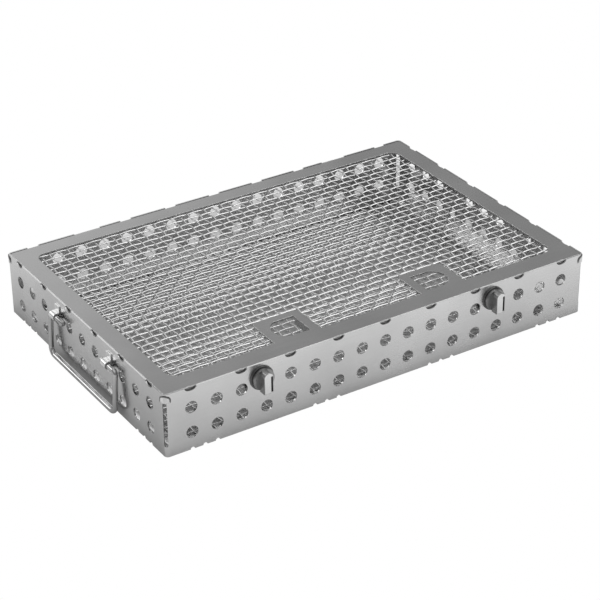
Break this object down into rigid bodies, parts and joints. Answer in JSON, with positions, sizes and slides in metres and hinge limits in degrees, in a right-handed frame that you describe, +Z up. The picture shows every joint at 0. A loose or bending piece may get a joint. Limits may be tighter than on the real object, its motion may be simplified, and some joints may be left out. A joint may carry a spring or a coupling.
{
  "type": "sterilization container",
  "caption": "Flat perforated steel tray with a woven-wire floor, a hinged wire-mesh lid with finger tabs, quarter-turn latches and hanging wire handles.",
  "frame": {"origin": "centre of the tray's underside, on the surface that it stands on", "axes": "+X along the long side, -Y towards the latches, +Z up"},
  "size_m": [0.3762, 0.257, 0.05],
  "materials": {
    "tray_sheet": "satin stainless sheet",
    "lid_sheet": "satin stainless sheet",
    "woven_wire": "drawn stainless wire",
    "handle_wire": "drawn and bent stainless wire",
    "handle_strap": "pressed stainless strip",
    "latch_knob": "turned and milled stainless steel",
    "turned_steel": "turned stainless steel"
  },
  "bodies": {
    "tray": {"front_wall": "tray_sheet", "rear_wall": "tray_sheet", "left_wall": "tray_sheet", "right_wall": "tray_sheet", "corner_clips": "tray_sheet", "floor_frame": "tray_sheet", "floor_mesh_binding": "tray_sheet", "floor_mesh": "woven_wire", "lid_rest_lugs": "lid_sheet", "tray_hinge_leaf_left": "tray_sheet", "tray_hinge_leaf_right": "tray_sheet", "hinge_pin_left": "turned_steel", "hinge_pin_right": "turned_steel", "latch_escutcheon_left": "latch_knob", "latch_escutcheon_right": "latch_knob", "strap_left_front": "handle_strap", "strap_left_rear": "handle_strap", "strap_right_front": "handle_strap", "strap_right_rear": "handle_strap"},
    "lid": {"lid_frame": "lid_sheet", "lid_skirts": "lid_sheet", "lid_mesh_binding": "lid_sheet", "lid_mesh": "woven_wire", "lid_hook_left": "lid_sheet", "lid_hook_right": "lid_sheet", "lid_hinge_leaf_left": "lid_sheet", "lid_hinge_leaf_right": "lid_sheet"},
    "latch_left": {"latch_knob_left": "latch_knob", "latch_spacer_left": "turned_steel", "latch_cam_left": "turned_steel", "latch_nut_left": "turned_steel"},
    "latch_right": {"latch_knob_right": "latch_knob", "latch_spacer_right": "turned_steel", "latch_cam_right": "turned_steel", "latch_nut_right": "turned_steel"},
    "handle_left": {"bail_left": "handle_wire"},
    "handle_right": {"bail_right": "handle_wire"}
  },
  "joints": [
    {"name": "lid_hinge", "type": "hinge", "parent": "tray", "child": "lid", "pos_m": [0, 0.1242, 0.0445], "axis": [-1, 0, 0], "range_deg": [0, 180]},
    {"name": "latch_left_turn", "type": "hinge", "parent": "tray", "child": "latch_left", "pos_m": [-0.104, -0.1205, 0.0385], "axis": [0, -1, 0], "range_deg": [0, 90]},
    {"name": "latch_right_turn", "type": "hinge", "parent": "tray", "child": "latch_right", "pos_m": [0.096, -0.1205, 0.0385], "axis": [0, -1, 0], "range_deg": [0, 90]},
    {"name": "handle_left_swing", "type": "hinge", "parent": "tray", "child": "handle_left", "pos_m": [-0.1842, 0, 0.037], "axis": [0, 1, 0], "range_deg": [0, 175]},
    {"name": "handle_right_swing", "type": "hinge", "parent": "tray", "child": "handle_right", "pos_m": [0.1842, 0, 0.037], "axis": [0, -1, 0], "range_deg": [0, 175]}
  ]
}
